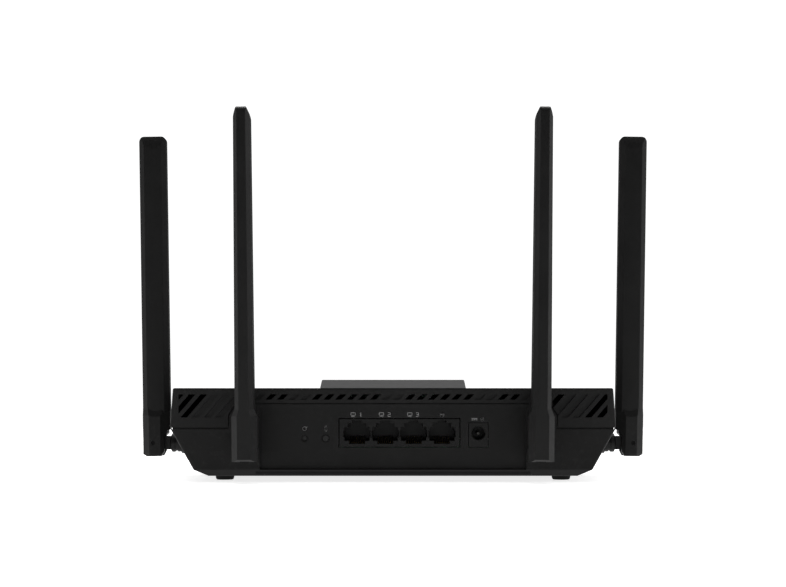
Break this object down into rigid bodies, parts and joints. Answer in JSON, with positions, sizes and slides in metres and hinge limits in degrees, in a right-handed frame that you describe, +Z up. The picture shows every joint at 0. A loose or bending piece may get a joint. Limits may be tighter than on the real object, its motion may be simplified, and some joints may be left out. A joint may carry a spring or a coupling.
{
  "type": "wireless router",
  "caption": "Desktop wireless router: faceted black case with slanted grilles, rear port panel with network sockets, and blade antennas that swivel and fold.",
  "frame": {"origin": "on the table under the middle of the whole object's box, antennas upright", "axes": "+Z up, -Y out of the port panel at the rear, +X to the right seen from behind"},
  "size_m": [0.272, 0.162, 0.1816],
  "materials": {
    "cover_plastic": "fine spark-eroded texture, satin black",
    "casing_plastic": "fine spark-eroded texture, satin black",
    "trim_plastic": "smoother satin black trim",
    "antenna_plastic": "soft matt black moulding",
    "hinge_plastic": "plain moulded black",
    "hinge_pin": "blackened steel",
    "spring_steel": "spring steel",
    "foot_rubber": "soft rubber",
    "socket_plastic": "black PBT, slight sheen",
    "contact_gold": "gold-plated wire",
    "inlet_pin": "nickel-plated pin",
    "button_plastic": "moulded black",
    "plunger_plastic": "moulded dark grey",
    "moulded_black": "moulded component body",
    "board_mask": "green solder mask on glass epoxy",
    "chip_resin": "moulded chip resin",
    "ferrite": "dark ferrite",
    "can_metal": "plain drawn can",
    "ceramic": "ceramic chip parts",
    "thermal_pad": "silicone pad",
    "sink_aluminium": "extruded, bead blasted",
    "shield_tin": "tinned sheet",
    "light_guide": "clear moulding",
    "lamp_resin": "lamp resin",
    "screw_black": "black zinc",
    "screw_zinc": "bright zinc",
    "element_copper": "copper strip",
    "lead_jacket": "thin lead jacket"
  },
  "bodies": {
    "case": {"base_casing": "casing_plastic", "board_screws": "screw_zinc", "capacitors": "can_metal", "casing_screws": "screw_black", "centre_plate": "trim_plastic", "coax_lead_inner_left": "lead_jacket", "coax_lead_inner_right": "lead_jacket", "coax_lead_outer_left": "lead_jacket", "coax_lead_outer_right": "lead_jacket", "crystal": "can_metal", "dc_jack_body": "socket_plastic", "dc_jack_pin": "inlet_pin", "dc_jack_terminals": "shield_tin", "ethernet_jack_block": "socket_plastic", "flash_chip": "chip_resin", "foot_1": "foot_rubber", "foot_2": "foot_rubber", "foot_3": "foot_rubber", "foot_4": "foot_rubber", "heatsink": "sink_aluminium", "jack_contacts": "contact_gold", "lead_connectors": "contact_gold", "light_pipe": "light_guide", "line_transformers": "moulded_black", "main_board": "board_mask", "memory_chip": "chip_resin", "power_inductors": "ferrite", "processor_chip": "chip_resin", "radio_shields": "shield_tin", "small_components": "ceramic", "status_lamps": "lamp_resin", "tact_switches": "moulded_black", "thermal_pad": "thermal_pad", "top_cover": "cover_plastic"},
    "reset": {"reset_button": "button_plastic", "reset_plunger": "plunger_plastic"},
    "pair": {"pair_button": "button_plastic", "pair_plunger": "plunger_plastic"},
    "swivel_outer_left": {"swivel_base_outer_left": "hinge_plastic", "retainer_clip_outer_left": "spring_steel"},
    "blade_outer_left": {"antenna_outer_left": "antenna_plastic", "antenna_element_outer_left": "element_copper", "hinge_pin_outer_left": "hinge_pin"},
    "swivel_inner_left": {"swivel_base_inner_left": "hinge_plastic", "retainer_clip_inner_left": "spring_steel"},
    "blade_inner_left": {"antenna_inner_left": "antenna_plastic", "antenna_element_inner_left": "element_copper", "hinge_pin_inner_left": "hinge_pin"},
    "swivel_inner_right": {"swivel_base_inner_right": "hinge_plastic", "retainer_clip_inner_right": "spring_steel"},
    "blade_inner_right": {"antenna_inner_right": "antenna_plastic", "antenna_element_inner_right": "element_copper", "hinge_pin_inner_right": "hinge_pin"},
    "swivel_outer_right": {"swivel_base_outer_right": "hinge_plastic", "retainer_clip_outer_right": "spring_steel"},
    "blade_outer_right": {"antenna_outer_right": "antenna_plastic", "antenna_element_outer_right": "element_copper", "hinge_pin_outer_right": "hinge_pin"}
  },
  "joints": [
    {"name": "swivel_outer_left", "type": "hinge", "parent": "case", "child": "swivel_outer_left", "pos_m": [-0.12805, 0.007, 0.0176], "axis": [1, 0, 0], "range_deg": [-90, 90]},
    {"name": "fold_outer_left", "type": "hinge", "parent": "swivel_outer_left", "child": "blade_outer_left", "pos_m": [-0.12805, 0.007, 0.0176], "axis": [0, -1, 0], "range_deg": [-0.85, 89.15]},
    {"name": "swivel_inner_left", "type": "hinge", "parent": "case", "child": "swivel_inner_left", "pos_m": [-0.0715, -0.0754, 0.0176], "axis": [0, 1, 0], "range_deg": [-89.45, 45.55]},
    {"name": "fold_inner_left", "type": "hinge", "parent": "swivel_inner_left", "child": "blade_inner_left", "pos_m": [-0.0715, -0.0754, 0.0176], "axis": [1, 0, 0.0096], "range_deg": [0, 90]},
    {"name": "swivel_inner_right", "type": "hinge", "parent": "case", "child": "swivel_inner_right", "pos_m": [0.0715, -0.0754, 0.0176], "axis": [0, 1, 0], "range_deg": [-45.55, 89.45]},
    {"name": "fold_inner_right", "type": "hinge", "parent": "swivel_inner_right", "child": "blade_inner_right", "pos_m": [0.0715, -0.0754, 0.0176], "axis": [1, 0, -0.0096], "range_deg": [0, 90]},
    {"name": "swivel_outer_right", "type": "hinge", "parent": "case", "child": "swivel_outer_right", "pos_m": [0.12805, 0.007, 0.0176], "axis": [1, 0, 0], "range_deg": [-90, 90]},
    {"name": "fold_outer_right", "type": "hinge", "parent": "swivel_outer_right", "child": "blade_outer_right", "pos_m": [0.12805, 0.007, 0.0176], "axis": [0, 1, 0], "range_deg": [-0.85, 89.15]},
    {"name": "reset_press", "type": "slide", "parent": "case", "child": "reset", "axis": [0, 1, 0], "range_m": [0, 0.0004], "stiffness_N_per_m": 2500},
    {"name": "pair_press", "type": "slide", "parent": "case", "child": "pair", "axis": [0, 1, 0], "range_m": [0, 0.0004], "stiffness_N_per_m": 2500}
  ]
}
